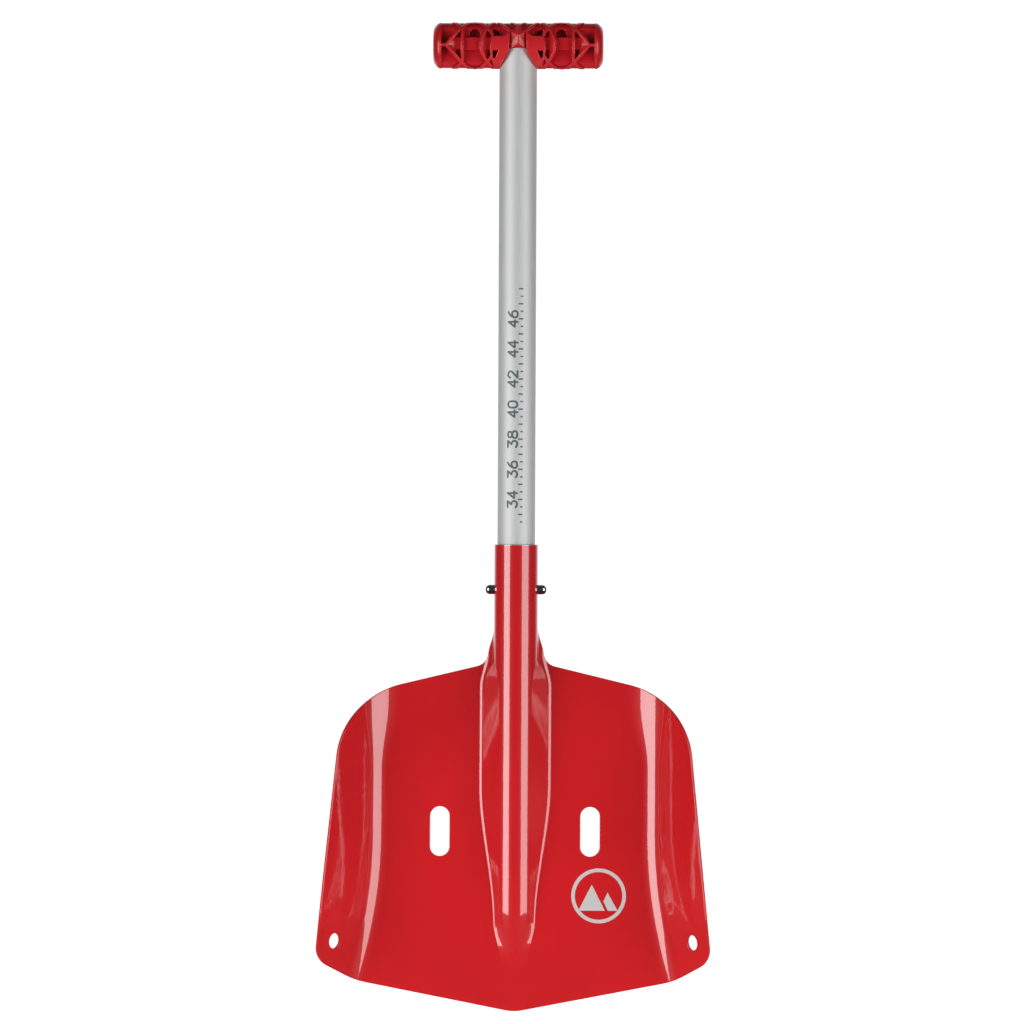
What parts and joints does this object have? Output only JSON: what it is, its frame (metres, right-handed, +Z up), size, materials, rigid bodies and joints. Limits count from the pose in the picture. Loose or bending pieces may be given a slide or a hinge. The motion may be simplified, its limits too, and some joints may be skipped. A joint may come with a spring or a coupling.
{
  "type": "avalanche shovel",
  "caption": "Compact avalanche shovel: pressed scoop blade with a rolled socket, plug-in tube shaft held by two snap buttons, and a ribbed T-grip.",
  "frame": {"origin": "bottom centre of the whole shovel's box, under the middle of the cutting edge", "axes": "+Z up the shaft to the grip, +X across the blade, -Y out of the scoop's hollow"},
  "size_m": [0.261, 0.0628, 0.6576],
  "materials": {
    "blade_paint": "gloss red paint on aluminium sheet",
    "shaft_aluminium": "satin anodised",
    "grip_plastic": "satin moulded plastic",
    "steel": "polished",
    "spring_steel": "satin",
    "plug_plastic": "matte black"
  },
  "bodies": {
    "blade": {"blade": "blade_paint"},
    "shaft": {"shaft_tube": "shaft_aluminium", "grip": "grip_plastic", "grip_pin": "steel", "shaft_end_plug": "plug_plastic", "snap_spring": "spring_steel"},
    "button_left": {"button_left": "steel"},
    "button_right": {"button_right": "steel"}
  },
  "joints": [
    {"name": "shaft_slide", "type": "slide", "parent": "blade", "child": "shaft", "axis": [0, 0, 1], "range_m": [0, 0.075], "deforming": ["button_left", "button_right"]},
    {"name": "button_left_press", "type": "slide", "parent": "shaft", "child": "button_left", "axis": [1, 0, 0], "range_m": [0, 0.008], "stiffness_N_per_m": 1200, "springref_m": -0.001, "deforming": ["snap_spring"]},
    {"name": "button_right_press", "type": "slide", "parent": "shaft", "child": "button_right", "axis": [-1, 0, 0], "range_m": [0, 0.008], "stiffness_N_per_m": 1200, "springref_m": -0.001}
  ]
}
